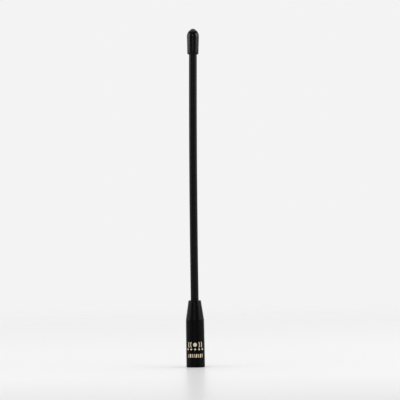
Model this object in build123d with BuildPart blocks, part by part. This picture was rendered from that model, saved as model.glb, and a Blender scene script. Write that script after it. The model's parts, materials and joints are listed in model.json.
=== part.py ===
from build123d import *
import os
from math import atan2, cos, degrees, hypot, pi, radians, sin

# Flexible whip antenna with a screw-on coaxial plug hidden in its base, in millimetres.
# The origin is the centre of the base's bottom rim and +Z runs up the base. The base is straight,
# and the whip has taken a slight set: it bends towards +X in one long arc, which stays in the XZ plane.
# A plug hangs in the base's mouth and faces down. Behind it a loading coil on a former joins the
# plug's centre pin to the whip's steel core.

# Fits
slip_gap = 0.03  # radial, between a piece and the bore it is pushed or glued into
free_gap = 0.1  # radial, between the coil former and the bores round it

# Whip
total_length = 170.0  # from the rim to the tip, along the whip's own line
whip_diameter = 4.0
whip_set = 1.0  # degrees that the whip's end leans from the base's axis
core_wire_diameter = 1.2
core_wire_setback = 1.0  # the steel core ends this far short of the sheath's end

# Tip cap
cap_length = 13.0
cap_wall = 1.07
cap_draft = 1.4  # degrees that the cap narrows towards its mouth
cap_tip_radius = 1.85
cap_flank_angle = 50.0  # between the dome's straight flank and the cap's axis
cap_shoulder_radius = 3.8
cap_mouth_fillet = 0.6
cap_mouth_land = 0.1  # least flat width left inside the mouth's fillet
cap_tip_depth = 4.0  # solid rubber between the bore's end and the tip

# Outside of the base
rim_wall = 0.64
rim_fillet = 0.2
rim_chamfer = 0.15
barrel_draft = 0.16  # the barrel is this much wider across at the rim than at the cone's foot
cone_length = 9.8
cone_top_wall = 1.13
cone_top_fillet = 0.4
sheath_grip = 5.17  # length of the whip that the cone's top holds

# Threaded sleeve of the plug, for a jack with a 6.35 mm thread of 36 turns to the inch
plug_recess = 0.4  # the sleeve's front face lies this far inside the rim
lead_in_diameter = 6.5
lead_in_depth = 0.8
thread_crest_height = 0.4
thread_relief = 0.1  # plain length between the thread's end and the gasket
sleeve_wall = 0.75
sleeve_length = 8.0
sleeve_chamfer = 0.2
knurl_count = 28
knurl_width = 0.3
knurl_start = 1.6  # from the front face
knurl_length = 4.8

# Contact body: outer contact ring, flange and rear barrel in one turned piece
reference_depth = 3.3  # from the sleeve's front face to the ring's front edge
ring_wall = 0.225
ring_length = 2.6
flange_seat = 0.25  # width of the step in the sleeve that the flange rests on
flange_thickness = 1.2
barrel_wall = 0.45
barrel_overrun = 0.8  # the barrel ends this far behind the insulator

# Gasket, insulator and centre pin
gasket_thickness = 0.8
gasket_width = 0.915
insulator_length = 5.5
pin_diameter = 0.92
pin_length = 2.3
pin_tip_chamfer = 0.2
conductor_diameter = 1.28
barb_height = 0.26
barb_length = 0.5
barb_offset = 2.3  # from the ring's front edge
cup_wall = 0.32
cup_length = 1.4
cup_bore_depth = 1.1
cup_scoop_depth = 0.6

# Loading coil
wire_diameter = 0.8
coil_gap = 0.58  # radial, between the coil's outside and the housing
coil_pitch = 1.5
coil_turns = 5
leg_bend_radius = 0.7
leg_rise = 0.6  # from the solder cup's mouth to the middle of the lower leg's cross run
lead_gap = 0.6  # from a former plate to the middle of the nearest wire

# Former that carries the coil
core_slack = 0.05  # radial, between the former's core and the coil's turns
plate_thickness = 0.8
notch_width = 1.0
collar_wall = 0.97
collar_length = 3.0
ledge_width = 0.43  # of the ring inside the collar that the ferrule stands on

# Ferrule
ferrule_diameter = 3.2
ferrule_socket_depth = 3.0
ferrule_web = 0.5  # solid metal between the socket and the wire's hole
ferrule_leg_depth = 1.4
crimp_width = 0.5
crimp_depth = 0.15

# Diameters that follow, from the thread out to the rim and from the pin's line up
thread_crest_diameter = lead_in_diameter - 2 * thread_crest_height
sleeve_diameter = lead_in_diameter + 2 * sleeve_wall
rim_diameter = sleeve_diameter + 2 * (slip_gap + rim_wall)
barrel_top_diameter = rim_diameter - barrel_draft
cone_top_diameter = whip_diameter + 2 * cone_top_wall
gasket_diameter = lead_in_diameter - 2 * slip_gap
ring_diameter = gasket_diameter - 2 * (gasket_width + slip_gap)
dielectric_diameter = ring_diameter - 2 * ring_wall
flange_diameter = lead_in_diameter + 2 * flange_seat
barrel_diameter = dielectric_diameter + 2 * barrel_wall
barb_diameter = conductor_diameter + 2 * barb_height
collar_diameter = ferrule_diameter + 2 * (slip_gap + collar_wall)
cap_diameter = whip_diameter + 2 * cap_wall

# Radii that several pieces share
flange_bore_radius = flange_diameter / 2 + slip_gap
former_radius = flange_bore_radius - free_gap
cavity_radius = former_radius + free_gap
coil_radius = cavity_radius - coil_gap - wire_diameter / 2  # at the middle of the wire
core_radius = coil_radius - wire_diameter / 2 - core_slack
collar_bore_radius = collar_diameter / 2 + 2 * free_gap
ferrule_bore_radius = ferrule_diameter / 2 + slip_gap
wire_bore_radius = wire_diameter / 2 + slip_gap
whip_bore_radius = whip_diameter / 2 + slip_gap
core_bore_radius = core_wire_diameter / 2 + slip_gap

# Heights that several pieces share, from the rim up
sleeve_front = plug_recess
reference_plane = sleeve_front + reference_depth
flange_front = reference_plane + ring_length
flange_back = flange_front + flange_thickness
gasket_front = flange_front - gasket_thickness
thread_end = gasket_front - thread_relief
sleeve_back = sleeve_front + sleeve_length
insulator_back = reference_plane + insulator_length
barrel_back = insulator_back + barrel_overrun
cup_mouth = insulator_back + cup_length
lower_run = cup_mouth + leg_rise
former_floor = lower_run + lead_gap
coil_foot = former_floor + plate_thickness + lead_gap
coil_head = coil_foot + coil_pitch * coil_turns
former_deck = coil_head + lead_gap
collar_foot = former_deck + plate_thickness
upper_run = collar_foot + lead_gap
ferrule_foot = upper_run + leg_bend_radius + slip_gap
ferrule_head = ferrule_foot + ferrule_leg_depth + ferrule_web + ferrule_socket_depth
core_foot = ferrule_head - ferrule_socket_depth
collar_head = collar_foot + collar_length
base_length = ferrule_head + sheath_grip
barrel_top = base_length - cone_length

# The coil's ends bend out of the helix into upright legs, which stand this far round from them
helix_slope = atan2(coil_pitch, 2 * pi * coil_radius)
bend_height = leg_bend_radius * cos(helix_slope)
leg_offset = leg_bend_radius * (1 - sin(helix_slope))
leg_angle = degrees(atan2(leg_offset, coil_radius))
leg_radius = hypot(leg_offset, coil_radius)

# The whip's line: straight in the base, one arc in the open, straight again inside the cap
cap_bore_depth = cap_length - cap_tip_depth
bow_length = total_length - base_length - cap_length
bow_radius = bow_length / radians(whip_set)
bow_end = (bow_radius * (1 - cos(radians(whip_set))), base_length + bow_radius * sin(radians(whip_set)))
end_direction = (sin(radians(whip_set)), cos(radians(whip_set)))


def whip_line(foot, reach):
    """The whip's line from a height inside the base to a distance inside the cap."""
    with BuildLine(Plane.XZ) as line:
        Line((0, foot), (0, base_length))
        CenterArc((bow_radius, base_length), bow_radius, 180, -whip_set)
        Line(bow_end, (bow_end[0] + reach * end_direction[0], bow_end[1] + reach * end_direction[1]))
    return line.line


os.makedirs("parts", exist_ok=True)

# Base housing: a tapered barrel with a cone, moulded in one piece round the plug's pocket
with BuildPart() as base_housing:
    with BuildSketch(Plane.XZ):
        with BuildLine():
            Polyline(
                (sleeve_diameter / 2 + slip_gap, 0),
                (rim_diameter / 2, 0),
                (barrel_top_diameter / 2, barrel_top),
                (cone_top_diameter / 2, base_length),
                (whip_bore_radius, base_length),
                (whip_bore_radius, ferrule_head),
                (collar_bore_radius, collar_head),
                (cavity_radius, collar_foot),
                (cavity_radius, sleeve_back),
                (sleeve_diameter / 2 + slip_gap, sleeve_back),
                close=True,
            )
        make_face()
    revolve(axis=Axis.Z)
    rim_edges = base_housing.edges().filter_by(GeomType.CIRCLE).group_by(Axis.Z)[0].sort_by(SortBy.RADIUS)
    top_edges = base_housing.edges().filter_by(GeomType.CIRCLE).group_by(Axis.Z)[-1].sort_by(SortBy.RADIUS)
    fillet(rim_edges[-1], rim_fillet)
    chamfer(rim_edges[0], rim_chamfer)
    fillet(top_edges[-1], cone_top_fillet)
    chamfer(top_edges[0], rim_chamfer)

# Threaded sleeve: turned brass, knurled where the housing grips it
with BuildPart() as threaded_sleeve:
    with BuildSketch(Plane.XZ):
        with BuildLine():
            lead_in_end = sleeve_front + lead_in_depth
            Polyline(
                (lead_in_diameter / 2, sleeve_front),
                (sleeve_diameter / 2, sleeve_front),
                (sleeve_diameter / 2, sleeve_back),
                (flange_bore_radius, sleeve_back),
                (flange_bore_radius, flange_front),
                (lead_in_diameter / 2, flange_front),
                (lead_in_diameter / 2, thread_end),
                (thread_crest_diameter / 2, thread_end - thread_crest_height),
                (thread_crest_diameter / 2, lead_in_end + thread_crest_height),
                (lead_in_diameter / 2, lead_in_end),
                close=True,
            )
        make_face()
    revolve(axis=Axis.Z)
    outer_rims = threaded_sleeve.edges().filter_by(GeomType.CIRCLE).group_by(SortBy.RADIUS)[-1]
    chamfer(outer_rims, sleeve_chamfer)
    with BuildSketch(Plane.XY.offset(sleeve_front + knurl_start)):
        with PolarLocations(sleeve_diameter / 2, knurl_count):
            Rectangle(knurl_width, knurl_width, rotation=45)
    extrude(amount=knurl_length, mode=Mode.SUBTRACT)

# Contact body: its front ring is the outer contact, its flange seats behind the thread's relief
with BuildPart() as contact_body:
    with BuildSketch(Plane.XY.offset(reference_plane)):
        Circle(ring_diameter / 2)
    extrude(amount=ring_length)
    with BuildSketch(Plane.XY.offset(flange_front)):
        Circle(flange_diameter / 2)
    extrude(amount=flange_thickness)
    with BuildSketch(Plane.XY.offset(flange_back)):
        Circle(barrel_diameter / 2)
    extrude(amount=barrel_back - flange_back)
    with Locations((0, 0, barrel_back)):
        Hole(dielectric_diameter / 2)
    barrel_rim = contact_body.edges().filter_by(GeomType.CIRCLE).group_by(Axis.Z)[-1].sort_by(SortBy.RADIUS)[-1]
    chamfer(barrel_rim, rim_chamfer)

# Gasket: a flat ring round the outer contact, against the flange
with BuildPart() as gasket:
    with BuildSketch(Plane.XY.offset(gasket_front)):
        Circle(gasket_diameter / 2)
        Circle(ring_diameter / 2 + slip_gap, mode=Mode.SUBTRACT)
    extrude(amount=gasket_thickness)

# Insulator: a bead with a waist that the pin's barb snaps into
with BuildPart() as insulator:
    with BuildSketch(Plane.XY.offset(reference_plane)):
        Circle(dielectric_diameter / 2 - slip_gap)
        Circle(conductor_diameter / 2 + slip_gap, mode=Mode.SUBTRACT)
    extrude(amount=insulator_length)
    with BuildSketch(Plane.XY.offset(reference_plane + barb_offset - slip_gap)):
        Circle(barb_diameter / 2 + slip_gap)
    extrude(amount=barb_length + 2 * slip_gap, mode=Mode.SUBTRACT)

# Centre pin: contact tip, stepped conductor with its barb, and a solder cup with an open scoop
with BuildPart() as centre_pin:
    with BuildSketch(Plane.XY.offset(reference_plane - pin_length)):
        Circle(pin_diameter / 2)
    extrude(amount=pin_length)
    pin_end = centre_pin.faces().sort_by(Axis.Z)[0]
    chamfer(pin_end.edges(), pin_tip_chamfer)
    with BuildSketch(Plane.XY.offset(reference_plane)):
        Circle(conductor_diameter / 2)
    extrude(amount=insulator_length)
    with Locations((0, 0, reference_plane + barb_offset)):
        Cone(
            conductor_diameter / 2,
            barb_diameter / 2,
            barb_length,
            align=(Align.CENTER, Align.CENTER, Align.MIN),
        )
    with BuildSketch(Plane.XY.offset(insulator_back)):
        Circle(wire_bore_radius + cup_wall)
    extrude(amount=cup_length)
    with Locations((0, 0, cup_mouth)):
        Hole(wire_bore_radius, cup_bore_depth)
    with BuildSketch(Plane.XY.offset(cup_mouth).rotated((0, 0, -leg_angle))):
        Rectangle(conductor_diameter, 2 * wire_bore_radius, align=(Align.MIN, Align.CENTER))
    extrude(amount=-cup_scoop_depth, mode=Mode.SUBTRACT)

# Coil former: a skirt over the contact body's barrel, two plates round the core, and a collar on top
with BuildPart() as coil_former:
    with BuildSketch(Plane.XZ):
        with BuildLine():
            Polyline(
                (barrel_diameter / 2 + slip_gap, flange_back),
                (former_radius, flange_back),
                (former_radius, former_floor + plate_thickness),
                (core_radius, former_floor + plate_thickness),
                (core_radius, former_deck),
                (former_radius, former_deck),
                (former_radius, collar_foot),
                (collar_diameter / 2, collar_foot),
                (collar_diameter / 2, collar_head),
                (ferrule_bore_radius, collar_head),
                (ferrule_bore_radius, ferrule_foot),
                (ferrule_bore_radius - ledge_width, ferrule_foot),
                (ferrule_bore_radius - ledge_width, collar_foot),
                (0, collar_foot),
                (0, former_floor),
                (barrel_diameter / 2 + slip_gap, former_floor),
                close=True,
            )
        make_face()
    revolve(axis=Axis.Z)
    # Notches for the coil's two legs: skirt and lower plate, upper plate, collar
    notch_inner = leg_radius - notch_width / 2
    notches = (
        (-leg_angle, notch_inner, lower_run - notch_width / 2, former_floor + plate_thickness),
        (leg_angle, notch_inner, former_deck, collar_foot),
        (leg_angle, 0, collar_foot, upper_run + notch_width / 2),
    )
    for angle, inner, bottom, top in notches:
        with BuildSketch(Plane.XY.offset(bottom).rotated((0, 0, angle))):
            with Locations((inner, 0)):
                Rectangle(former_radius, notch_width, align=(Align.MIN, Align.CENTER))
        extrude(amount=top - bottom, mode=Mode.SUBTRACT)

# Loading coil: one length of bare wire, a helix whose two legs bend away and turn in to the axis
with BuildPart() as loading_coil:
    lower_bend = (coil_radius, -leg_offset, coil_foot - bend_height)
    upper_bend = (coil_radius, leg_offset, coil_head + bend_height)
    with BuildLine() as wire_route:
        FilletPolyline(
            (0, 0, cup_mouth - cup_bore_depth),
            (0, 0, lower_run),
            (coil_radius, -leg_offset, lower_run),
            lower_bend,
            radius=leg_bend_radius,
        )
        TangentArc(lower_bend, (coil_radius, 0, coil_foot), tangent=(0, 0, 1))
        Helix(coil_pitch, coil_pitch * coil_turns, coil_radius, center=(0, 0, coil_foot))
        TangentArc(
            (coil_radius, 0, coil_head),
            upper_bend,
            tangent=(0, cos(helix_slope), sin(helix_slope)),
        )
        FilletPolyline(
            upper_bend,
            (coil_radius, leg_offset, upper_run),
            (0, 0, upper_run),
            (0, 0, ferrule_foot + ferrule_leg_depth),
            radius=leg_bend_radius,
        )
    with BuildSketch(Plane.XY.offset(cup_mouth - cup_bore_depth)):
        Circle(wire_diameter / 2)
    sweep(path=wire_route.line)

# Ferrule: crimped round the steel core's foot, with the coil's upper leg soldered in below
with BuildPart() as ferrule:
    with BuildSketch(Plane.XY.offset(ferrule_foot)):
        Circle(ferrule_diameter / 2)
    extrude(amount=ferrule_head - ferrule_foot)
    with Locations((0, 0, ferrule_head)):
        Hole(core_bore_radius, ferrule_socket_depth)
    with Locations(Plane(origin=(0, 0, ferrule_foot), z_dir=(0, 0, -1))):
        Hole(wire_bore_radius, ferrule_leg_depth)
    # Two crimps round the socket
    for share in (1 / 3, 2 / 3):
        with BuildSketch(Plane.XY.offset(ferrule_head - share * ferrule_socket_depth - crimp_width / 2)):
            Circle(ferrule_diameter / 2)
            Circle(ferrule_diameter / 2 - crimp_depth, mode=Mode.SUBTRACT)
        extrude(amount=crimp_width, mode=Mode.SUBTRACT)

# Steel core: spring wire from the ferrule to just below the sheath's end
with BuildPart() as steel_core:
    with BuildSketch(Plane.XY.offset(core_foot)):
        Circle(core_wire_diameter / 2)
    sweep(path=whip_line(core_foot, cap_bore_depth - core_wire_setback))

# Whip sheath: flexible tube over the steel core, glued into the housing's top
with BuildPart() as whip_sheath:
    with BuildSketch(Plane.XY.offset(ferrule_head)):
        Circle(whip_diameter / 2)
        Circle(core_bore_radius, mode=Mode.SUBTRACT)
    sweep(path=whip_line(ferrule_head, cap_bore_depth - slip_gap))

# Tip cap: a pointed dome on a body that narrows towards its mouth, pushed over the sheath's end
cap_plane = Plane(
    origin=(bow_end[0], 0, bow_end[1]),
    x_dir=(end_direction[1], 0, -end_direction[0]),
    z_dir=(0, -1, 0),
)
with BuildPart() as tip_cap:
    with BuildSketch(cap_plane):
        with BuildLine():
            flank = radians(cap_flank_angle)
            flank_width = cap_diameter / 2 - cap_shoulder_radius
            flank_width += (cap_shoulder_radius - cap_tip_radius) * cos(flank)
            tip = JernArc((0, cap_length), (1, 0), cap_tip_radius, cap_flank_angle - 90)
            side = PolarLine(tip @ 1, flank_width / sin(flank), direction=tip % 1)
            shoulder = JernArc(side @ 1, side % 1, cap_shoulder_radius, -cap_flank_angle - cap_draft)
            wall_length = (shoulder @ 1).Y / cos(radians(cap_draft))
            wall = PolarLine(shoulder @ 1, wall_length, direction=shoulder % 1)
            Polyline(
                wall @ 1,
                (whip_bore_radius, 0),
                (whip_bore_radius, cap_bore_depth),
                (0, cap_bore_depth),
                (0, cap_length),
            )
        make_face()
    revolve(axis=Axis(cap_plane.origin, cap_plane.y_dir))
    mouth_rim = tip_cap.edges().filter_by(GeomType.CIRCLE).group_by(Axis.Z)[0].sort_by(SortBy.RADIUS)[-1]
    mouth_wall = (wall @ 1).X - whip_bore_radius
    fillet(mouth_rim, min(cap_mouth_fillet, mouth_wall - cap_mouth_land))

pieces = {
    "base_housing": base_housing,
    "threaded_sleeve": threaded_sleeve,
    "contact_body": contact_body,
    "gasket": gasket,
    "insulator": insulator,
    "centre_pin": centre_pin,
    "coil_former": coil_former,
    "loading_coil": loading_coil,
    "ferrule": ferrule,
    "steel_core": steel_core,
    "whip_sheath": whip_sheath,
    "tip_cap": tip_cap,
}
for name, piece in pieces.items():
    piece.part.label = name
    export_step(piece.part, f"parts/{name}.step")
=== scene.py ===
"""A whip antenna with a tapered base and a tip cap, dressed round its packed model, and its studio."""

import json
import math

import bmesh
import bpy
from bpy.props import FloatProperty, FloatVectorProperty, IntProperty, PointerProperty
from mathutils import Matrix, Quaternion, Vector


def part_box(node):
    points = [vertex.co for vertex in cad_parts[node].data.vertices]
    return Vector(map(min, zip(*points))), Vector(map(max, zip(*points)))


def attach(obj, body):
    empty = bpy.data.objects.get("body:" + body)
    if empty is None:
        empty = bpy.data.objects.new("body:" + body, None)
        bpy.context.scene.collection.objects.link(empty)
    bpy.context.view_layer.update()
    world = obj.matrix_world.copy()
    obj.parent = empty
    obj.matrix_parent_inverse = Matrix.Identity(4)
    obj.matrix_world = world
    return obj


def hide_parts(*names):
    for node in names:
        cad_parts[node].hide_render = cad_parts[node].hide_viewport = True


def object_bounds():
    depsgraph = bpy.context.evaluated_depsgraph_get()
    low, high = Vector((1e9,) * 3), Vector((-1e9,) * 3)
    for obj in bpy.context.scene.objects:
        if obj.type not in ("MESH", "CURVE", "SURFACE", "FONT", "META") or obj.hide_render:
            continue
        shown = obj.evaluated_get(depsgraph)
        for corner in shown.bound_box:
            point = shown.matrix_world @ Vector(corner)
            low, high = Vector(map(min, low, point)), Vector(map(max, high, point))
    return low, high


bl_info = {
    "name": "Whip Antenna",
    "version": (1, 0, 0),
    "blender": (4, 5, 0),
    "location": "3D View > Sidebar > Antenna",
    "description": "Dresses a whip antenna and sets up its studio",
    "category": "Object",
}

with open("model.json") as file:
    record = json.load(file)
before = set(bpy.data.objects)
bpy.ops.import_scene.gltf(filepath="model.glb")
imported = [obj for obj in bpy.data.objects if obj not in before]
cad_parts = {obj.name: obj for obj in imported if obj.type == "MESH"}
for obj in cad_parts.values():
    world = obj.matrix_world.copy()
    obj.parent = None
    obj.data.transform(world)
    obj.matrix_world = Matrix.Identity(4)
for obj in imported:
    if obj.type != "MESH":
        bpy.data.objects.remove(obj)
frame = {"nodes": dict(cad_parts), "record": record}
cad_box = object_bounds()

MM = 0.001
BODY = "root"

# Corners of the packed pieces' boxes, read from the frame
HOUSING_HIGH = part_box("base_housing")[1]
SLEEVE_LOW, SLEEVE_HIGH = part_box("threaded_sleeve")
CONTACT_LOW, CONTACT_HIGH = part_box("contact_body")
GASKET_LOW, GASKET_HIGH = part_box("gasket")
INSULATOR_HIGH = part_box("insulator")[1]
PIN_LOW, PIN_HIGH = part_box("centre_pin")
FORMER_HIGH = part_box("coil_former")[1]
FERRULE_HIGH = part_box("ferrule")[1]
SHEATH_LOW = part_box("whip_sheath")[0]
MOUNTS = {mount["name"]: mount for mount in frame["record"]["mounts"]}

# Gap between a piece and the bore that it is pushed or glued into
SLIP_GAP = 0.03 * MM


def length(name, default_mm, description):
    """A size in metres that a user can change."""
    return FloatProperty(
        name=name, description=description, default=default_mm * MM, min=0.0, precision=5, unit="LENGTH"
    )


def degrees(name, default, description):
    """An angle, given in degrees, that a user can change."""
    return FloatProperty(name=name, description=description, default=math.radians(default), subtype="ANGLE")


def colour(name, default, description):
    """A linear colour that a user can change."""
    return FloatVectorProperty(
        name=name, description=description, default=default, min=0.0, max=1.0, subtype="COLOR"
    )


def share(name, default, description):
    """A value from 0 to 1 that a user can change."""
    return FloatProperty(name=name, description=description, default=default, min=0.0, max=1.0)


class HousingSettings(bpy.types.PropertyGroup):
    """Sizes and finish of the moulded base."""

    rim_diameter: length("Rim diameter", 9.34, "Across the barrel at its rim")
    barrel_top_diameter: length("Barrel top diameter", 9.18, "Across the barrel where the cone starts")
    cone_top_diameter: length("Cone top diameter", 6.26, "Across the cone at its top")
    cone_length: length("Cone length", 9.8, "Height of the cone")
    rim_fillet: length("Rim fillet", 0.2, "Rounding of the rim's outer edge")
    foot_fillet: length("Cone foot fillet", 0.25, "Rounding where the barrel meets the cone")
    top_fillet: length("Top fillet", 0.4, "Rounding of the cone's top edge")
    mouth_chamfer: length("Mouth chamfer", 0.15, "Bevel of the edges of both mouths")
    pocket_diameter: length("Pocket diameter", 8.06, "Bore that holds the plug's sleeve")
    cavity_diameter: length("Cavity diameter", 7.06, "Bore round the coil")
    collar_bore_diameter: length("Collar bore diameter", 5.6, "Bore at the former's collar")
    collar_length: length("Collar length", 3.0, "Height of the former's collar")
    whip_bore_diameter: length("Whip bore diameter", 4.06, "Bore that holds the sheath")
    tint: colour("Tint", (0.0012, 0.0012, 0.0013), "Colour of the moulded plastic")
    roughness: share("Roughness", 0.35, "Mean roughness of the moulded plastic")
    gloss: share("Gloss", 0.28, "Specular level of the moulded plastic")


class WhipSettings(bpy.types.PropertyGroup):
    """Sizes and finish of the flexible whip."""

    diameter: length("Whip diameter", 4.0, "Across the sheath")
    bore_diameter: length("Bore diameter", 1.26, "Bore for the steel core")
    bow_length: length("Bow length", 123.5, "Length of the whip that bends, from the cone to the cap")
    set_angle: degrees("Set", 1.0, "Lean of the whip's end")
    end_bevel: length("End bevel", 0.1, "Bevel of the cut ends")
    tint: colour("Tint", (0.0022, 0.0022, 0.0023), "Colour of the sheath")
    roughness: share("Roughness", 0.4, "Mean roughness of the sheath")
    gloss: share("Gloss", 0.45, "Specular level of the sheath")


class CapSettings(bpy.types.PropertyGroup):
    """Sizes and finish of the tip cap."""

    length: length("Cap length", 13.0, "From the mouth to the tip")
    diameter: length("Cap diameter", 6.14, "Across the cap at its widest")
    bore_diameter: length("Bore diameter", 4.06, "Bore that holds the sheath")
    bore_depth: length("Bore depth", 9.0, "Depth of that bore")
    tip_radius: length("Tip radius", 1.85, "Radius of the tip's arc")
    shoulder_radius: length("Shoulder radius", 3.8, "Radius of the arc between flank and wall")
    mouth_fillet: length("Mouth fillet", 0.6, "Rounding of the mouth's outer edge")
    mouth_break: length("Mouth break", 0.04, "Rounding of the mouth's inner edge")
    flank_angle: degrees("Flank angle", 50, "Between the flank and the axis")
    draft: degrees("Draft", 1.4, "Narrowing towards the mouth")
    tint: colour("Tint", (0.003, 0.003, 0.0032), "Colour of the cap")
    roughness: share("Roughness", 0.25, "Mean roughness of the cap")
    gloss: share("Gloss", 0.62, "Specular level of the cap")


class PlugSettings(bpy.types.PropertyGroup):
    """Sizes and finish of the coaxial plug in the base."""

    lead_in_diameter: length("Lead-in diameter", 6.5, "Plain bore in front of the thread, and its relief")
    lead_in_depth: length("Lead-in depth", 0.8, "Length of that plain bore")
    thread_pitch: length("Thread pitch", 25.4 / 36, "36 turns to the inch")
    groove_diameter: length("Groove diameter", 6.44, "Across the bottoms of the thread's grooves")
    flange_bore_diameter: length("Flange bore diameter", 7.06, "Bore behind the thread's relief")
    sleeve_chamfer: length("Sleeve chamfer", 0.2, "Bevel of the sleeve's outer edges")
    knurl_depth: length("Knurl depth", 0.21, "Depth of the sleeve's grooves")
    knurl_start: length("Knurl start", 1.6, "From the sleeve's front")
    knurl_length: length("Knurl length", 4.8, "Length of the sleeve's grooves")
    knurl_count: IntProperty(name="Knurl count", description="Grooves round the sleeve", default=28, min=3)
    ring_length: length("Ring length", 2.6, "Contact ring, from its front edge to the flange")
    ring_diameter: length("Ring diameter", 4.55, "Across the contact ring")
    flange_thickness: length("Flange thickness", 1.2, "Of the contact body's flange")
    barrel_diameter: length("Barrel diameter", 5.0, "Across the contact body behind its flange")
    dielectric_diameter: length("Dielectric diameter", 4.1, "Bore of the contact body")
    conductor_diameter: length("Conductor diameter", 1.28, "Across the pin inside the insulator")
    barb_offset: length("Barb offset", 2.3, "From the insulator's front to the barb")
    barb_length: length("Barb length", 0.5, "Height of the barb")
    wire_bore_diameter: length("Wire bore diameter", 0.86, "Bore of the solder cup")
    cup_bore_depth: length("Cup bore depth", 1.1, "Depth of the solder cup")
    cup_wall: length("Cup wall", 0.32, "Thickness of the solder cup's wall")
    gasket_lip: length("Gasket lip", 0.2, "Rounding of the gasket's front edges")
    pin_tip: length("Pin tip", 0.22, "Rounding of the pin's end")
    pin_step: length("Pin step", 0.03, "Rounding of the pin's step")
    edge: length("Edge", 0.05, "Rounding of the turned pieces' edges")
    gilt: colour("Gilt", (0.83, 0.6, 0.24), "Colour of the gold plating")


class PrintSettings(bpy.types.PropertyGroup):
    """Sizes and colour of the gold marks on the base."""

    turn: degrees("Turn", -2, "Angle round the base of the marks' middle")
    thickness: length("Thickness", 0.01, "Height of the ink above the plastic")
    waves_height: length("Waves height", 11.4, "From the rim to the middle of the dot and its arcs")
    dot_radius: length("Dot radius", 0.98, "Of the dot between the arcs")
    inner_arc_radius: length("Inner arc radius", 2.35, "Of the arcs beside the dot")
    outer_arc_radius: length("Outer arc radius", 3.6, "Of the arcs further out")
    arc_width: length("Arc width", 0.42, "Width of an arc's stroke")
    arc_reach: degrees("Arc reach", 34, "Half of the angle that the inner arcs span")
    diamonds_height: length("Diamonds height", 9.1, "From the rim to the diamonds' middles")
    diamond_spacing: length("Diamond spacing", 2.05, "Between two diamonds' middles")
    diamond_reach: length("Diamond reach", 0.6, "From a diamond's middle to its corners")
    bars_foot: length("Bars foot", 5.0, "From the rim to the bars' lower ends")
    bars_head: length("Bars head", 6.75, "From the rim to the bars' upper ends")
    bar_gap: length("Bar gap", 0.58, "Between two bars")
    bar_slant: length("Bar slant", 0.3, "How far a bar's upper end leans to the right")
    thin_bar: length("Thin bar", 0.34, "Width of a thin bar")
    thick_bar: length("Thick bar", 0.72, "Width of a thick bar")
    ink: colour("Ink", (0.86, 0.74, 0.54), "Colour of the gold ink")


class StageSettings(bpy.types.PropertyGroup):
    """The studio: camera, floor, backdrop and lamps."""

    camera_distance: FloatProperty(
        name="Camera distance", description="From the base's axis", default=1.1, unit="LENGTH"
    )
    pixel: length("Pixel", 0.5026, "Size at the antenna of one pixel of the 400 pixel frame")
    roll: degrees("Roll", -0.92, "Turn of the camera about its line of sight")
    backdrop: share("Backdrop", 0.9, "Brightness of the backdrop")
    fill: share("Fill", 0.7, "Brightness of the even light from all sides")
    floor_tint: colour("Floor tint", (0.88, 0.88, 0.88), "Colour of the floor")
    # Painted shade: the floor's colour is darkened in front of the antenna, towards the camera
    painted_front_shade: share("Front floor", 0.88, "Share of the floor's colour in front of the antenna")
    floor_gloss: share("Floor gloss", 0.82, "Weight of the floor's gloss round the antenna")
    # Painted shade in reflections: the floor is darker in what mirrors it than it looks itself
    mirrored_floor: share("Mirrored floor", 0.18, "Share of the floor's brightness in what reflects it")


SETTINGS = {
    "antenna_housing": HousingSettings,
    "antenna_whip": WhipSettings,
    "antenna_cap": CapSettings,
    "antenna_plug": PlugSettings,
    "antenna_print": PrintSettings,
    "antenna_stage": StageSettings,
}

# Fineness of the turned and moulded meshes
ROUND_STEPS = 160
SLIM_STEPS = 96
ARC_STEPS = 8
SHARP_ANGLE = math.radians(32)

# The image that the camera is set for, and where the middle of the base's rim stands in it
FRAME_SIZE = 400
BASE_PIXEL = Vector((195.75, 366.9))

# Soft lamps: place, width, height, and brightness of the face
LAMPS = {
    "left_softbox": ((-0.8, -0.05, 0.39), 0.6, 0.5, 1.75),
    "right_softbox": ((0.8, -0.12, 0.42), 0.7, 0.48, 2.15),
    "top_softbox": ((0, 0.3, 1.1), 1.2, 1.0, 0.62),
    "front_softbox": ((-0.16, -1.32, 0.46), 0.35, 0.3, 2.1),
}


def arc(centre, radius, start, end, steps):
    """Points of an arc, with angles from the axis of the turned piece, clockwise from its top."""
    return [
        (
            centre[0] + radius * math.sin(start + (end - start) * step / steps),
            centre[1] + radius * math.cos(start + (end - start) * step / steps),
        )
        for step in range(steps + 1)
    ]


def rounded(corners):
    """An outline from (radius, height, fillet) corners: each fillet becomes an arc between the two sides."""
    points = []
    for index, (x, z, fillet) in enumerate(corners):
        if fillet <= 0:
            points.append((x, z))
            continue
        corner = Vector((x, z))
        before = (Vector(corners[index - 1][:2]) - corner).normalized()
        after = (Vector(corners[(index + 1) % len(corners)][:2]) - corner).normalized()
        half = before.angle(after) / 2
        centre = corner + (before + after).normalized() * fillet / math.sin(half)
        first = corner + before * fillet / math.tan(half) - centre
        last = corner + after * fillet / math.tan(half) - centre
        turn = first.angle_signed(last)
        for step in range(ARC_STEPS + 1):
            angle = turn * step / ARC_STEPS
            turned = Vector((
                first.x * math.cos(angle) + first.y * math.sin(angle),
                first.y * math.cos(angle) - first.x * math.sin(angle),
            ))
            points.append(tuple(centre + turned))
    return points


def subdivided(outline, longest):
    """The closed outline with no side longer than that, apart from one along the axis."""
    points = []
    for index, start in enumerate(outline):
        end = outline[(index + 1) % len(outline)]
        on_axis = start[0] == end[0] == 0
        count = 1 if on_axis else max(1, math.ceil(math.dist(start, end) / longest))
        points += [
            (start[0] + (end[0] - start[0]) * step / count, start[1] + (end[1] - start[1]) * step / count)
            for step in range(count)
        ]
    return points


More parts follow.
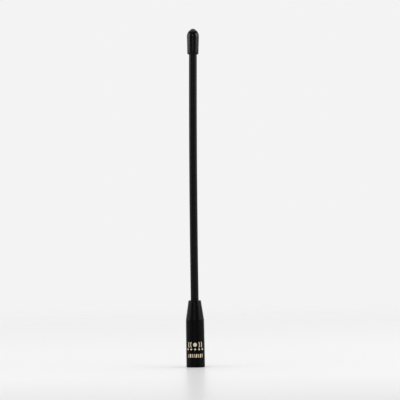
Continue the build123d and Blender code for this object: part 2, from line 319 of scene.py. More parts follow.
def finish_mesh(name, vertices, faces):
    """A shown object from vertices and faces, welded, closed, facing out and smooth up to its edges."""
    mesh = bpy.data.meshes.new(name)
    mesh.from_pydata(vertices, [], faces)
    shape = bmesh.new()
    shape.from_mesh(mesh)
    bmesh.ops.remove_doubles(shape, verts=shape.verts, dist=1e-8)
    bmesh.ops.dissolve_degenerate(shape, edges=shape.edges, dist=1e-9)
    bmesh.ops.recalc_face_normals(shape, faces=shape.faces)
    open_edges = [edge for edge in shape.edges if not edge.is_manifold]
    if open_edges:
        raise RuntimeError(f"{name} has {len(open_edges)} open edges")
    for face in shape.faces:
        face.smooth = True
    for edge in shape.edges:
        edge.smooth = edge.calc_face_angle() < SHARP_ANGLE
    if shape.calc_volume(signed=True) < 0:
        bmesh.ops.reverse_faces(shape, faces=shape.faces)
    shape.to_mesh(mesh)
    shape.free()
    piece = bpy.data.objects.new(name, mesh)
    bpy.context.scene.collection.objects.link(piece)
    return piece


def turned(name, outline, steps=ROUND_STEPS, place=None):
    """A closed outline of (radius, height) turned round Z. place can move each finished point."""
    vertices, faces = [], []
    for column in range(steps):
        angle = 2 * math.pi * column / steps
        for radius, height in outline:
            point = Vector((radius * math.cos(angle), radius * math.sin(angle), height))
            vertices.append(place(point) if place else point)
    rows = len(outline)
    for column in range(steps):
        here, there = column * rows, (column + 1) % steps * rows
        for row in range(rows):
            above = (row + 1) % rows
            if outline[row][0] == outline[above][0] == 0:
                continue
            faces.append((here + row, there + row, there + above, here + above))
    return finish_mesh(name, vertices, faces)


def bow(point):
    """Moves a point of the straight whip onto its bowed line."""
    whip = bpy.context.scene.antenna_whip
    start = HOUSING_HIGH.z
    along = point.z - start
    if along <= 0:
        return point
    radius = whip.bow_length / whip.set_angle
    angle = min(along, whip.bow_length) / radius
    straight = max(0.0, along - whip.bow_length)
    offset = radius - point.x
    return Vector((
        radius - offset * math.cos(angle) + straight * math.sin(angle),
        point.y,
        start + offset * math.sin(angle) + straight * math.cos(angle),
    ))


def dress(piece, node, finish):
    """Lets a piece stand for a CAD node, which it hides, with a finish."""
    piece.data.materials.append(finish)
    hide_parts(node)
    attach(piece, BODY)


def effect_group(name, inputs, outputs):
    """An empty shader node group with its sockets, or None in place of the nodes if it is there already."""
    if name in bpy.data.node_groups:
        return bpy.data.node_groups[name], None, None
    group = bpy.data.node_groups.new(name, "ShaderNodeTree")
    for label, kind, default in inputs:
        socket = group.interface.new_socket(label, in_out="INPUT", socket_type=kind)
        socket.default_value = default
    for label, kind in outputs:
        group.interface.new_socket(label, in_out="OUTPUT", socket_type=kind)
    return group, group.nodes.new("NodeGroupInput"), group.nodes.new("NodeGroupOutput")


def stretched_noise(group, scale_socket, stretch_socket, detail):
    """A noise over the object's own space, stretched by a vector."""
    place = group.nodes.new("ShaderNodeTexCoord")
    stretch = group.nodes.new("ShaderNodeVectorMath")
    stretch.operation = "MULTIPLY"
    noise = group.nodes.new("ShaderNodeTexNoise")
    noise.inputs["Detail"].default_value = detail
    group.links.new(place.outputs["Object"], stretch.inputs[0])
    group.links.new(stretch_socket, stretch.inputs[1])
    group.links.new(stretch.outputs[0], noise.inputs["Vector"])
    group.links.new(scale_socket, noise.inputs["Scale"])
    return noise


def grain_group():
    """Fine moulded or drawn grain: a height for bump, and a slow mottle for colour and roughness."""
    group, start, end = effect_group(
        "surface_grain",
        [
            ("Scale", "NodeSocketFloat", 4000.0),
            ("Stretch", "NodeSocketVector", (1.0, 1.0, 1.0)),
            ("Mottle Scale", "NodeSocketFloat", 150.0),
        ],
        [("Height", "NodeSocketFloat"), ("Mottle", "NodeSocketFloat")],
    )
    if start:
        fine = stretched_noise(group, start.outputs["Scale"], start.outputs["Stretch"], 3.0)
        slow = stretched_noise(group, start.outputs["Mottle Scale"], start.outputs["Stretch"], 2.0)
        group.links.new(fine.outputs["Fac"], end.inputs["Height"])
        group.links.new(slow.outputs["Fac"], end.inputs["Mottle"])
    return group


def turning_group():
    """Lathe marks round the Z axis, on faces as on cylinders: a height for bump, and a slow mottle."""
    group, start, end = effect_group(
        "turning_marks",
        [("Scale", "NodeSocketFloat", 8000.0)],
        [("Height", "NodeSocketFloat"), ("Mottle", "NodeSocketFloat")],
    )
    if start:
        nodes, links = group.nodes, group.links
        place = nodes.new("ShaderNodeTexCoord")
        split = nodes.new("ShaderNodeSeparateXYZ")
        flat = nodes.new("ShaderNodeVectorMath")
        flat.operation = "MULTIPLY"
        flat.inputs[1].default_value = (1, 1, 0)
        radius = nodes.new("ShaderNodeVectorMath")
        radius.operation = "LENGTH"
        around = nodes.new("ShaderNodeCombineXYZ")
        lines = nodes.new("ShaderNodeTexNoise")
        lines.inputs["Detail"].default_value = 3.0
        cloud = nodes.new("ShaderNodeTexNoise")
        cloud.inputs["Scale"].default_value = 900.0
        links.new(place.outputs["Object"], split.inputs[0])
        links.new(place.outputs["Object"], flat.inputs[0])
        links.new(flat.outputs[0], radius.inputs[0])
        links.new(radius.outputs["Value"], around.inputs["X"])
        links.new(split.outputs["Z"], around.inputs["Y"])
        links.new(around.outputs[0], lines.inputs["Vector"])
        links.new(start.outputs["Scale"], lines.inputs["Scale"])
        links.new(place.outputs["Object"], cloud.inputs["Vector"])
        links.new(lines.outputs["Fac"], end.inputs["Height"])
        links.new(cloud.outputs["Fac"], end.inputs["Mottle"])
    return group


def dust_group():
    """Sparse fine dust, as a mask."""
    group, start, end = effect_group(
        "fine_dust",
        [
            ("Scale", "NodeSocketFloat", 900.0),
            ("Size", "NodeSocketFloat", 0.1),
            ("Amount", "NodeSocketFloat", 0.3),
        ],
        [("Mask", "NodeSocketFloat")],
    )
    if start:
        nodes, links = group.nodes, group.links
        place = nodes.new("ShaderNodeTexCoord")
        cells = nodes.new("ShaderNodeTexVoronoi")
        speck = nodes.new("ShaderNodeMath")
        speck.operation = "LESS_THAN"
        chosen = nodes.new("ShaderNodeSeparateColor")
        kept = nodes.new("ShaderNodeMath")
        kept.operation = "LESS_THAN"
        both = nodes.new("ShaderNodeMath")
        both.operation = "MULTIPLY"
        links.new(place.outputs["Object"], cells.inputs["Vector"])
        links.new(start.outputs["Scale"], cells.inputs["Scale"])
        links.new(cells.outputs["Distance"], speck.inputs[0])
        links.new(start.outputs["Size"], speck.inputs[1])
        links.new(cells.outputs["Color"], chosen.inputs["Color"])
        links.new(chosen.outputs["Red"], kept.inputs[0])
        links.new(start.outputs["Amount"], kept.inputs[1])
        links.new(speck.outputs[0], both.inputs[0])
        links.new(kept.outputs[0], both.inputs[1])
        links.new(both.outputs[0], end.inputs["Mask"])
    return group


class Finish:
    """A material under construction round one Principled BSDF."""

    def __init__(self, name):
        self.material = bpy.data.materials.new(name)
        self.material.use_nodes = True
        self.tree = self.material.node_tree
        self.shader = self.tree.nodes["Principled BSDF"]

    def node(self, kind, **values):
        """A new node with the values of its named inputs."""
        node = self.tree.nodes.new(kind)
        for label, value in values.items():
            node.inputs[label.replace("_", " ")].default_value = value
        return node

    def group(self, tree, **values):
        """A placed node group with its own values."""
        node = self.tree.nodes.new("ShaderNodeGroup")
        node.node_tree = tree
        for label, value in values.items():
            node.inputs[label.replace("_", " ")].default_value = value
        return node

    def link(self, output, socket):
        """Joins an output to one of the shader's sockets, by name, or to a given socket."""
        self.tree.links.new(output, self.shader.inputs[socket] if isinstance(socket, str) else socket)

    def blend(self, factor, dark, light):
        """A colour that goes from dark to light with a factor."""
        mix = self.tree.nodes.new("ShaderNodeMix")
        mix.data_type = "RGBA"
        mix.inputs["A"].default_value = (*dark, 1)
        mix.inputs["B"].default_value = (*light, 1)
        self.tree.links.new(factor, mix.inputs["Factor"])
        return mix

    def ramp(self, factor, low, high):
        """A value between low and high, as the factor goes from 0.3 to 0.7."""
        scale = self.node("ShaderNodeMapRange", From_Min=0.3, From_Max=0.7, To_Min=low, To_Max=high)
        self.tree.links.new(factor, scale.inputs["Value"])
        return scale.outputs["Result"]

    def bump(self, height, distance, strength):
        """Bump from a height, into the shader's normal."""
        bump = self.node("ShaderNodeBump", Distance=distance, Strength=strength)
        self.tree.links.new(height, bump.inputs["Height"])
        self.link(bump.outputs["Normal"], "Normal")


def scaled(tint, factor):
    """A tint made darker or lighter."""
    return tuple(min(1.0, part * factor) for part in tint)


def black_finish(name, own, stretch, grain_scale, grain_depth, dust):
    """Black moulded or extruded material: fine grain, a slow mottle and a little dust."""
    finish = Finish(name)
    grain = finish.group(grain_group(), Scale=grain_scale, Stretch=stretch, Mottle_Scale=grain_scale / 20)
    specks = finish.group(dust_group(), Scale=1400.0, Size=0.05, Amount=dust)
    base = finish.blend(grain.outputs["Mottle"], scaled(own.tint, 0.75), scaled(own.tint, 1.3))
    dusty = finish.blend(specks.outputs["Mask"], (0, 0, 0), scaled((1, 1, 1), 0.09))
    finish.tree.links.new(base.outputs["Result"], dusty.inputs["A"])
    finish.link(dusty.outputs["Result"], "Base Color")
    spread = finish.ramp(grain.outputs["Mottle"], own.roughness - 0.05, own.roughness + 0.05)
    finish.link(spread, "Roughness")
    finish.bump(grain.outputs["Height"], grain_depth, 0.35)
    finish.shader.inputs["Specular IOR Level"].default_value = own.gloss
    return finish.material


def metal_finish(name, tint, roughness, depth, lines_group, **lines_values):
    """Turned or drawn metal: fine lines of some depth one way, and a slow change of colour."""
    finish = Finish(name)
    lines = finish.group(lines_group, **lines_values)
    base = finish.blend(lines.outputs["Mottle"], scaled(tint, 0.86), scaled(tint, 1.08))
    finish.link(base.outputs["Result"], "Base Color")
    finish.link(finish.ramp(lines.outputs["Height"], roughness - 0.06, roughness + 0.08), "Roughness")
    finish.bump(lines.outputs["Height"], depth, 0.5)
    finish.shader.inputs["Metallic"].default_value = 1.0
    return finish.material


def soft_finish(name, tint, roughness, mottle, grain_depth):
    """Waxy or rubbery insulation, a little cloudy."""
    finish = Finish(name)
    grain = finish.group(grain_group(), Scale=5000.0, Stretch=(1, 1, 1), Mottle_Scale=700.0)
    base = finish.blend(grain.outputs["Mottle"], scaled(tint, 1 - mottle), scaled(tint, 1 + mottle))
    finish.link(base.outputs["Result"], "Base Color")
    finish.link(finish.ramp(grain.outputs["Mottle"], roughness - 0.06, roughness + 0.06), "Roughness")
    finish.bump(grain.outputs["Height"], grain_depth, 0.4)
    return finish.material


def gilt_finish():
    """Gold plating over turned brass."""
    plug = bpy.context.scene.antenna_plug
    if "gilt_plating" in bpy.data.materials:
        return bpy.data.materials["gilt_plating"]
    return metal_finish("gilt_plating", tuple(plug.gilt), 0.24, 0.004 * MM, turning_group(), Scale=9000.0)


class ANTENNA_OT_housing(bpy.types.Operator):
    """Make the moulded base: barrel, cone, the pocket for the plug and the bore for the whip"""

    bl_idname = "antenna.housing"
    bl_label = "Base Housing"

    def execute(self, context):
        own = context.scene.antenna_housing
        top = HOUSING_HIGH.z
        collar_foot = FORMER_HIGH.z - own.collar_length
        outline = rounded([
            (own.rim_diameter / 2, 0, own.rim_fillet),
            (own.barrel_top_diameter / 2, top - own.cone_length, own.foot_fillet),
            (own.cone_top_diameter / 2, top, own.top_fillet),
            (own.whip_bore_diameter / 2 + own.mouth_chamfer, top, 0),
            (own.whip_bore_diameter / 2, top - own.mouth_chamfer, 0),
            (own.whip_bore_diameter / 2, FERRULE_HIGH.z, 0),
            (own.collar_bore_diameter / 2, FORMER_HIGH.z, 0),
            (own.cavity_diameter / 2, collar_foot, 0),
            (own.cavity_diameter / 2, SLEEVE_HIGH.z, 0),
            (own.pocket_diameter / 2, SLEEVE_HIGH.z, 0),
            (own.pocket_diameter / 2, own.mouth_chamfer, 0),
            (own.pocket_diameter / 2 + own.mouth_chamfer, 0, 0),
        ])
        housing = turned("housing", subdivided(outline, 1.5 * MM))
        finish = black_finish("moulded_black", own, (1, 1, 1), 7000.0, 0.015 * MM, 0.04)
        dress(housing, "base_housing", finish)
        return {"FINISHED"}


class ANTENNA_OT_whip(bpy.types.Operator):
    """Make the flexible sheath along the whip's bowed line"""

    bl_idname = "antenna.whip"
    bl_label = "Whip Sheath"

    def execute(self, context):
        own = context.scene.antenna_whip
        cap = context.scene.antenna_cap
        foot = SHEATH_LOW.z
        head = HOUSING_HIGH.z + own.bow_length + cap.bore_depth - SLIP_GAP
        outline = rounded([
            (own.diameter / 2, foot, own.end_bevel),
            (own.diameter / 2, head, own.end_bevel),
            (own.bore_diameter / 2, head, 0),
            (own.bore_diameter / 2, foot, 0),
        ])
        sheath = turned("sheath", subdivided(outline, 2.5 * MM), steps=SLIM_STEPS, place=bow)
        finish = black_finish("extruded_black", own, (1, 1, 0.02), 6000.0, 0.012 * MM, 0.04)
        dress(sheath, "whip_sheath", finish)
        return {"FINISHED"}


class ANTENNA_OT_cap(bpy.types.Operator):
    """Make the tip cap: rounded tip, straight flank, round shoulder and a wall that narrows to its mouth"""

    bl_idname = "antenna.cap"
    bl_label = "Tip Cap"

    def execute(self, context):
        own = context.scene.antenna_cap
        mouth = HOUSING_HIGH.z + context.scene.antenna_whip.bow_length
        tip_end = math.pi / 2 - own.flank_angle
        tip = arc((0, mouth + own.length - own.tip_radius), own.tip_radius, 0, tip_end, 2 * ARC_STEPS)
        shoulder_centre = own.diameter / 2 - own.shoulder_radius
        step_out = shoulder_centre + (own.shoulder_radius - own.tip_radius) * math.sin(tip_end)
        shoulder_start = tip[-1][1] - step_out * math.tan(tip_end)
        shoulder = arc(
            (shoulder_centre, shoulder_start - own.shoulder_radius * math.cos(tip_end)),
            own.shoulder_radius,
            tip_end,
            math.pi / 2 + own.draft,
            2 * ARC_STEPS,
        )
        mouth_radius = shoulder[-1][0] - (shoulder[-1][1] - mouth) * math.tan(own.draft)
        wall = rounded([
            (*shoulder[-1], 0),
            (mouth_radius, mouth, own.mouth_fillet),
            (own.bore_diameter / 2, mouth, own.mouth_break),
            (own.bore_diameter / 2, mouth + own.bore_depth, 0),
            (0, mouth + own.bore_depth, 0),
            (*tip[0], 0),
        ])
        outline = tip[:-1] + shoulder[:-1] + wall[:-1]
        cap = turned("cap", subdivided(outline, 0.8 * MM), place=bow)
        finish = black_finish("moulded_rubber", own, (1, 1, 1), 5000.0, 0.01 * MM, 0.05)
        dress(cap, "tip_cap", finish)
        return {"FINISHED"}


class ANTENNA_OT_sleeve(bpy.types.Operator):
    """Make the plug's sleeve, with its coupling thread inside and its knurl outside"""

    bl_idname = "antenna.sleeve"
    bl_label = "Threaded Sleeve"

    def execute(self, context):
        own = context.scene.antenna_plug
        crest = MOUNTS["coupling_thread"]["dims"]["r_mm"] * MM
        groove = own.groove_diameter / 2
        lead_in = own.lead_in_diameter / 2
        step = lead_in - crest
        outer = SLEEVE_HIGH.x
        front, back = SLEEVE_LOW.z, SLEEVE_HIGH.z
        knurl_foot = front + own.knurl_start
        knurl_head = knurl_foot + own.knurl_length
        knurl_end = 0.01 * MM
        thread_start = front + own.lead_in_depth
        thread_end = thread_start + 2 * step + MOUNTS["coupling_thread"]["dims"]["length_mm"] * MM
        rest = [
            (lead_in, thread_start),
            (lead_in, front),
            (outer - own.sleeve_chamfer, front),
            (outer, front + own.sleeve_chamfer),
            (outer, knurl_foot),
            (outer, knurl_foot + knurl_end),
            (outer, knurl_head - knurl_end),
            (outer, knurl_head),
            (outer, back - own.sleeve_chamfer),
            (outer - own.sleeve_chamfer, back),
            (own.flange_bore_diameter / 2, back),
            (own.flange_bore_diameter / 2, GASKET_HIGH.z),
            (lead_in, GASKET_HIGH.z),
            (lead_in, thread_end),
        ]
        knurled = {5, 6}

        def outside(row, angle):
            """A point of the sleeve apart from its thread, with the knurl's grooves cut in."""
            radius, height = rest[row]
            if row in knurled:
                turn = angle * own.knurl_count / (2 * math.pi) % 1.0
                radius -= own.knurl_depth * max(0.0, 1 - 4 * abs(turn - 0.5))
            return radius, height

        # One pitch of the thread in shares: crest, flank, groove and flank, with rows beside each corner.
        # Of half a pitch, the groove's floor takes one share and the flank another.
        groove_share, flank_share = 0.12, 0.7
        phases = [0, 0.07, 0.11, 0.19, 0.26, 0.34, 0.42, 0.46, 0.5, 0.54, 0.58, 0.66, 0.74, 0.81, 0.89, 0.93]
        turns = math.ceil((thread_end - thread_start) / own.thread_pitch) + 1

        def thread(row, angle):
            """A point of the thread: its rows climb by one pitch a turn, and end in a cone at each end."""
            turn, phase = divmod(row, len(phases))
            climb = turn - 1 + phases[phase] + angle / (2 * math.pi)
            height = min(thread_end, max(thread_start, thread_start + climb * own.thread_pitch))
            flank = min(1.0, max(0.0, (abs(phases[phase] - 0.5) * 2 - groove_share) / flank_share))
            from_end = min(height - thread_start, thread_end - height)
            return max(groove - (groove - crest) * flank, lead_in - from_end), height

        vertices, faces = [], []
        columns = own.knurl_count * 8
        for surface, rows in ((outside, len(rest)), (thread, (turns + 1) * len(phases))):
            first = len(vertices)
            for column in range(columns + 1):
                angle = 2 * math.pi * column / columns
                for row in range(rows):
                    radius, height = surface(row, angle)
                    vertices.append((radius * math.cos(angle), radius * math.sin(angle), height))
            for column in range(columns):
                here, there = first + column * rows, first + (column + 1) * rows
                for row in range(rows - 1):
                    faces.append((here + row, there + row, there + row + 1, here + row + 1))
        sleeve = finish_mesh("sleeve", vertices, faces)
        dress(sleeve, "threaded_sleeve", gilt_finish())
        return {"FINISHED"}


class ANTENNA_OT_contacts(bpy.types.Operator):
    """Make what shows in the plug's mouth: contact ring, gasket, insulator and centre pin"""

    bl_idname = "antenna.contacts"
    bl_label = "Contacts"

    def execute(self, context):
        own = context.scene.antenna_plug
        plane = CONTACT_LOW.z
        flange_front = plane + own.ring_length
        flange_back = flange_front + own.flange_thickness
        bore = own.dielectric_diameter / 2
        contact = turned("contact", rounded([
            (own.ring_diameter / 2, plane, own.edge),
            (own.ring_diameter / 2, flange_front, own.edge),
            (CONTACT_HIGH.x, flange_front, own.edge),
            (CONTACT_HIGH.x, flange_back, own.edge),
            (own.barrel_diameter / 2, flange_back, own.edge),
            (own.barrel_diameter / 2, CONTACT_HIGH.z, 2 * own.edge),
            (bore, CONTACT_HIGH.z, own.edge),
            (bore, plane, own.edge),
        ]))
        dress(contact, "contact_body", gilt_finish())

        gasket = turned("gasket_ring", rounded([
            (GASKET_HIGH.x, GASKET_LOW.z, own.gasket_lip),
            (GASKET_HIGH.x, GASKET_HIGH.z, own.edge),
            (own.ring_diameter / 2 + SLIP_GAP, GASKET_HIGH.z, own.edge),
            (own.ring_diameter / 2 + SLIP_GAP, GASKET_LOW.z, own.gasket_lip),
        ]))
        dress(gasket, "gasket", soft_finish("silicone", (0.6, 0.17, 0.1), 0.55, 0.12, 0.01 * MM))

        conductor = own.conductor_diameter / 2
        barb = PIN_HIGH.x
        barb_foot = plane + own.barb_offset
        barb_head = barb_foot + own.barb_length
        insulator = turned("insulator_bead", rounded([
            (INSULATOR_HIGH.x, plane, own.edge),
            (INSULATOR_HIGH.x, INSULATOR_HIGH.z, own.edge),
            (conductor + SLIP_GAP, INSULATOR_HIGH.z, 0),
            (conductor + SLIP_GAP, barb_head + SLIP_GAP, 0),
            (barb + SLIP_GAP, barb_head + SLIP_GAP, 0),
            (barb + SLIP_GAP, barb_foot - SLIP_GAP, 0),
            (conductor + SLIP_GAP, barb_foot - SLIP_GAP, 0),
            (conductor + SLIP_GAP, plane, own.edge),
        ]))
        finish = soft_finish("fluoropolymer", (0.84, 0.83, 0.79), 0.38, 0.06, 0.008 * MM)
        dress(insulator, "insulator", finish)

        tip = MOUNTS["centre_contact"]["dims"]["r_mm"] * MM
        cup = own.wire_bore_diameter / 2
        pin = turned("pin", rounded([
            (0, PIN_LOW.z, 0),
            (tip, PIN_LOW.z, own.pin_tip),
            (tip, plane, own.pin_step),
            (conductor, plane, own.pin_step),
            (conductor, barb_foot, 0),
            (barb, barb_head, 0),
            (conductor, barb_head, 0),
            (conductor, INSULATOR_HIGH.z, 0),
            (cup + own.cup_wall, INSULATOR_HIGH.z, own.edge),
            (cup + own.cup_wall, PIN_HIGH.z, own.edge),
            (cup, PIN_HIGH.z, own.edge),
            (cup, PIN_HIGH.z - own.cup_bore_depth, 0),
            (0, PIN_HIGH.z - own.cup_bore_depth, 0),
        ]), steps=SLIM_STEPS)
        dress(pin, "centre_pin", gilt_finish())
        return {"FINISHED"}


class ANTENNA_OT_inside(bpy.types.Operator):
    """Give the pieces inside the base and the whip their finishes"""

    bl_idname = "antenna.inside"
    bl_label = "Inner Pieces"

    def execute(self, context):
        finishes = {
            "coil_former": soft_finish("former_polymer", (0.8, 0.79, 0.75), 0.42, 0.06, 0.01 * MM),
            "loading_coil": metal_finish(
                "silvered_wire", (0.86, 0.84, 0.8), 0.28, 0.001 * MM, grain_group(), Scale=6000.0
            ),
            "ferrule": metal_finish(
                "turned_brass", (0.74, 0.52, 0.22), 0.3, 0.004 * MM, turning_group(), Scale=7000.0
            ),
            "steel_core": metal_finish(
                "spring_wire", (0.52, 0.52, 0.53), 0.34, 0.0015 * MM, grain_group(),
                Scale=9000.0, Stretch=(1, 1, 0.02)
            ),
        }
        for node, finish in finishes.items():
            piece = frame["nodes"][node]
            for slot in piece.material_slots:
                slot.link = "OBJECT"
                slot.material = finish
        return {"FINISHED"}


def wrapped(point, lift, turn):
    """A point of the flat print, in arc length and height, on the barrel, lifted off it."""
    own = bpy.context.scene.antenna_housing
    along, height = point
    narrowing = (own.rim_diameter - own.barrel_top_diameter) / 2 / (HOUSING_HIGH.z - own.cone_length)
    surface = own.rim_diameter / 2 - narrowing * height
    angle = turn + along / (own.rim_diameter / 2)
    radius = surface + lift
    return Vector((radius * math.sin(angle), -radius * math.cos(angle), height))


def ink_patch(vertices, faces, low_side, high_side, across, along, thickness, turn):
    """One closed ink mark between two curves given as functions from 0 to 1, wrapped onto the barrel."""
    start = len(vertices)
    layers = (-0.1 * thickness, thickness)
    for lift in layers:
        for row in range(across + 1):
            for column in range(along + 1):
                low, high = low_side(column / along), high_side(column / along)
                share_up = row / across
                point = (low[0] + (high[0] - low[0]) * share_up, low[1] + (high[1] - low[1]) * share_up)
                vertices.append(wrapped(point, lift, turn))

    def corner(layer, row, column):
        """Index of a grid point."""
        return start + (layer * (across + 1) + row) * (along + 1) + column

    for layer in range(2):
        for row in range(across):
            for column in range(along):
                faces.append((
                    corner(layer, row, column),
                    corner(layer, row, column + 1),
                    corner(layer, row + 1, column + 1),
                    corner(layer, row + 1, column),
                ))
    rim = [(0, column) for column in range(along)]
    rim += [(row, along) for row in range(across)]
    rim += [(across, column) for column in range(along, 0, -1)]
    rim += [(row, 0) for row in range(across, 0, -1)]
    for index, (row, column) in enumerate(rim):
        next_row, next_column = rim[(index + 1) % len(rim)]
        faces.append((
            corner(0, row, column),
            corner(0, next_row, next_column),
            corner(1, next_row, next_column),
            corner(1, row, column),
        ))


def disc(middle, radius):
    """The two sides of a round mark."""
    def side(up):
        return lambda t: (
            middle[0] - radius * math.cos(math.pi * t),
            middle[1] + up * radius * math.sin(math.pi * t),
        )
    return side(-1), side(1)


def diamond(middle, reach):
    """The two sides of a square mark that stands on its corner."""
    def side(up):
        return lambda t: (
            middle[0] + reach * (2 * t - 1),
            middle[1] + up * reach * (1 - abs(2 * t - 1)),
        )
    return side(-1), side(1)


def ring_part(middle, radius, width, start, end):
    """The two sides of part of a ring."""
    def side(rim):
        return lambda t: (
            middle[0] + rim * math.cos(start + (end - start) * t),
            middle[1] + rim * math.sin(start + (end - start) * t),
        )
    return side(radius - width / 2), side(radius + width / 2)


def slanted_bar(left, right, bottom, top, slant):
    """The two sides of an upright bar that leans to the right by slant."""
    return (
        lambda t: (left + (right - left) * t, bottom),
        lambda t: (left + slant + (right - left) * t, top),
    )


class ANTENNA_OT_print(bpy.types.Operator):
    """Print three rows of plain gold marks round the front of the base"""

    bl_idname = "antenna.print"
    bl_label = "Gold Marks"

    def execute(self, context):
        own = context.scene.antenna_print
        finish = self.ink_finish(own)
        rows = {
            "print_waves": self.waves(own),
            "print_diamonds": self.diamonds(own),
            "print_bars": self.bars(own),
        }
        for name, marks in rows.items():
            vertices, faces = [], []
            for low_side, high_side, across, along in marks:
                ink_patch(vertices, faces, low_side, high_side, across, along, own.thickness, own.turn)
            piece = finish_mesh(name, vertices, faces)
            piece.data.materials.append(finish)
            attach(piece, BODY)
        return {"FINISHED"}

    def waves(self, own):
        """A solid dot with two arcs on each side, which span the same height."""
        middle = (0.0, own.waves_height)
        marks = [(*disc(middle, own.dot_radius), 4, 16)]
        for facing in (0, math.pi):
            for radius in (own.inner_arc_radius, own.outer_arc_radius):
                reach = own.arc_reach * own.inner_arc_radius / radius
                sides = ring_part(middle, radius, own.arc_width, facing - reach, facing + reach)
                marks.append((*sides, 2, 12))
        return marks

    def diamonds(self, own):
        """A row of five diamonds."""
        middles = [(place * own.diamond_spacing, own.diamonds_height) for place in range(-2, 3)]
        return [(*diamond(middle, own.diamond_reach), 2, 12) for middle in middles]

    def bars(self, own):
        """A row of eight slanted bars, of which three are thick."""
        thick_places = (1, 4, 6)
        widths = [own.thick_bar if place in thick_places else own.thin_bar for place in range(8)]
        left = -(sum(widths) + own.bar_gap * (len(widths) - 1)) / 2
        marks = []
        for width in widths:
            sides = slanted_bar(left, left + width, own.bars_foot, own.bars_head, own.bar_slant)
            marks.append((*sides, 4, 3))
            left += width + own.bar_gap
        return marks

    def ink_finish(self, own):
        """Gold ink: slightly uneven cover and a satin surface."""
        finish = Finish("gold_ink")
        grain = finish.group(grain_group(), Scale=9000.0, Stretch=(1, 1, 1), Mottle_Scale=2200.0)
        base = finish.blend(grain.outputs["Mottle"], scaled(own.ink, 0.82), scaled(own.ink, 1.1))
        finish.link(base.outputs["Result"], "Base Color")
        finish.link(finish.ramp(grain.outputs["Mottle"], 0.42, 0.58), "Roughness")
        finish.bump(grain.outputs["Height"], 0.004 * MM, 0.4)
        finish.shader.inputs["Metallic"].default_value = 0.1
        return finish.material


def area_lamp(name, place, aim, width, height, strength):
    """A rectangular soft lamp that faces a point. strength is the brightness of its face."""
    data = bpy.data.lights.new(name, "AREA")
    data.shape = "RECTANGLE"
    data.size, data.size_y = width, height
    data.energy = strength * math.pi * width * height
    lamp = bpy.data.objects.new(name, data)
    lamp.location = place
    lamp.rotation_euler = (Vector(aim) - Vector(place)).to_track_quat("-Z", "Y").to_euler()
    lamp.visible_camera = False
    bpy.context.scene.collection.objects.link(lamp)


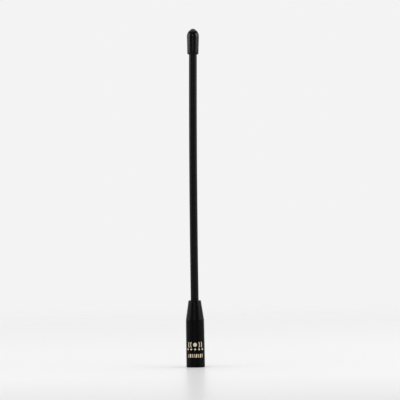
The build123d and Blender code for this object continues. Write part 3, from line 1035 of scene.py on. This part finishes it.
class ANTENNA_OT_stage(bpy.types.Operator):
    """Set up the floor, the backdrop, the lamps and the camera"""

    bl_idname = "antenna.stage"
    bl_label = "Stage"

    def execute(self, context):
        own = context.scene.antenna_stage
        self.floor(own)
        self.world(own)
        middle = (0, 0, (cad_box[0].z + cad_box[1].z) / 2)
        for name, (place, width, height, strength) in LAMPS.items():
            area_lamp(name, place, middle, width, height, strength)
        self.camera(own)
        context.scene.view_settings.view_transform = "Standard"
        return {"FINISHED"}

    def floor(self, own):
        """A wide pale floor that fades into the backdrop."""
        radius, steps = 0.7, 96
        rim = [
            (radius * math.cos(2 * math.pi * step / steps), radius * math.sin(2 * math.pi * step / steps), 0)
            for step in range(steps)
        ]
        mesh = bpy.data.meshes.new("floor")
        mesh.from_pydata(rim, [], [tuple(range(steps))])
        floor = bpy.data.objects.new("floor", mesh)
        bpy.context.scene.collection.objects.link(floor)
        finish = Finish("pale_floor")
        place = finish.node("ShaderNodeTexCoord")
        far = finish.tree.nodes.new("ShaderNodeVectorMath")
        far.operation = "LENGTH"
        finish.tree.links.new(place.outputs["Object"], far.inputs[0])
        # The floor itself and its gloss end at different distances
        bands = (("Alpha", 0.2, 0.65, 1.0), ("Coat Weight", 0.12, 0.32, own.floor_gloss))
        for socket, near, edge, inner in bands:
            fade = finish.node("ShaderNodeMapRange", From_Min=near, From_Max=edge, To_Min=inner, To_Max=0.0)
            fade.interpolation_type = "SMOOTHSTEP"
            finish.tree.links.new(far.outputs["Value"], fade.inputs["Value"])
            finish.link(fade.outputs["Result"], socket)
        # Painted shade: the floor's colour darkens towards the camera, in front of the antenna
        split = finish.tree.nodes.new("ShaderNodeSeparateXYZ")
        front_shade_ramp = finish.node("ShaderNodeMapRange", From_Min=-0.2, From_Max=-0.06)
        finish.tree.links.new(place.outputs["Object"], split.inputs[0])
        finish.tree.links.new(split.outputs["Y"], front_shade_ramp.inputs["Value"])
        front = scaled(own.floor_tint, own.painted_front_shade)
        base = finish.blend(front_shade_ramp.outputs["Result"], front, own.floor_tint)
        # Painted shade in reflections: glossy rays see the floor's colour cut to a share of its tint
        path = finish.node("ShaderNodeLightPath")
        mirrored = scaled(own.floor_tint, own.mirrored_floor)
        seen = finish.blend(path.outputs["Is Glossy Ray"], (0, 0, 0), mirrored)
        finish.tree.links.new(base.outputs["Result"], seen.inputs["A"])
        finish.link(seen.outputs["Result"], "Base Color")
        finish.shader.inputs["Specular IOR Level"].default_value = 0.0
        finish.shader.inputs["Roughness"].default_value = 0.8
        finish.shader.inputs["Coat Roughness"].default_value = 0.34
        finish.shader.inputs["Coat IOR"].default_value = 1.46
        mesh.materials.append(finish.material)

    def world(self, own):
        """A plain pale backdrop, with the dark of the room on the camera's side for what reflects it."""
        world = bpy.data.worlds.new("studio")
        bpy.context.scene.world = world
        world.use_nodes = True
        nodes, links = world.node_tree.nodes, world.node_tree.links
        background = nodes["Background"]
        background.inputs["Color"].default_value = (1.0, 0.997, 1.0, 1)
        path = nodes.new("ShaderNodeLightPath")
        place = nodes.new("ShaderNodeTexCoord")
        split = nodes.new("ShaderNodeSeparateXYZ")
        links.new(place.outputs["Generated"], split.inputs[0])
        mirrored = nodes.new("ShaderNodeMath")
        mirrored.operation = "MULTIPLY"
        # Bright behind the antenna and dark at the camera, less bright high up
        bands = (("Y", 0, 0.15, 1.0, 0.02, 1.12), ("Z", 1, 0.3, 0.6, 1.0, 0.5))
        for axis, index, near, far, low, high in bands:
            band = nodes.new("ShaderNodeMapRange")
            band.interpolation_type = "SMOOTHSTEP"
            band.inputs["From Min"].default_value = near
            band.inputs["From Max"].default_value = far
            band.inputs["To Min"].default_value = low
            band.inputs["To Max"].default_value = high
            links.new(split.outputs[axis], band.inputs["Value"])
            links.new(band.outputs["Result"], mirrored.inputs[index])
        lit = nodes.new("ShaderNodeMix")
        lit.inputs["A"].default_value = own.fill
        links.new(path.outputs["Is Glossy Ray"], lit.inputs["Factor"])
        links.new(mirrored.outputs[0], lit.inputs["B"])
        seen = nodes.new("ShaderNodeMix")
        seen.inputs["B"].default_value = own.backdrop
        direct = nodes.new("ShaderNodeMath")
        direct.operation = "MAXIMUM"
        links.new(path.outputs["Is Camera Ray"], direct.inputs[0])
        links.new(path.outputs["Is Transmission Ray"], direct.inputs[1])
        links.new(direct.outputs[0], seen.inputs["Factor"])
        links.new(lit.outputs["Result"], seen.inputs["A"])
        links.new(seen.outputs["Result"], background.inputs["Strength"])

    def camera(self, own):
        """A level camera, placed so that the base stands at its pixel of the frame."""
        data = bpy.data.cameras.new("camera")
        camera = bpy.data.objects.new("camera", data)
        bpy.context.scene.collection.objects.link(camera)
        bpy.context.scene.camera = camera
        data.sensor_width = 36.0
        data.lens = data.sensor_width * own.camera_distance / (own.pixel * FRAME_SIZE)
        off = (BASE_PIXEL - Vector((FRAME_SIZE / 2, FRAME_SIZE / 2))) * own.pixel
        across = off.x * math.cos(own.roll) + off.y * math.sin(own.roll)
        down = off.y * math.cos(own.roll) - off.x * math.sin(own.roll)
        camera.location = (-across, -own.camera_distance, down)
        camera.rotation_mode = "QUATERNION"
        level = Vector((0, 1, 0)).to_track_quat("-Z", "Y")
        camera.rotation_quaternion = level @ Quaternion((0, 0, 1), own.roll)


OPERATORS = (
    ANTENNA_OT_stage,
    ANTENNA_OT_housing,
    ANTENNA_OT_print,
    ANTENNA_OT_whip,
    ANTENNA_OT_cap,
    ANTENNA_OT_sleeve,
    ANTENNA_OT_contacts,
    ANTENNA_OT_inside,
)


class ANTENNA_PT_sidebar(bpy.types.Panel):
    """Lists the antenna's pieces and their settings"""

    bl_idname = "ANTENNA_PT_sidebar"
    bl_label = "Whip Antenna"
    bl_space_type = "VIEW_3D"
    bl_region_type = "UI"
    bl_category = "Antenna"

    def draw(self, context):
        for operator in OPERATORS:
            self.layout.operator(operator.bl_idname)
        for name, group in SETTINGS.items():
            box = self.layout.box()
            box.label(text=group.__doc__)
            for label in group.__annotations__:
                box.prop(getattr(context.scene, name), label)


def register():
    for name, group in SETTINGS.items():
        bpy.utils.register_class(group)
        setattr(bpy.types.Scene, name, PointerProperty(type=group))
    for part in (*OPERATORS, ANTENNA_PT_sidebar):
        bpy.utils.register_class(part)


def unregister():
    for part in (ANTENNA_PT_sidebar, *reversed(OPERATORS)):
        bpy.utils.unregister_class(part)
    for name, group in SETTINGS.items():
        delattr(bpy.types.Scene, name)
        bpy.utils.unregister_class(group)


def main():
    register()
    for operator in OPERATORS:
        group, name = operator.bl_idname.split(".")
        getattr(getattr(bpy.ops, group), name)()


if __name__ == "__main__":
    main()
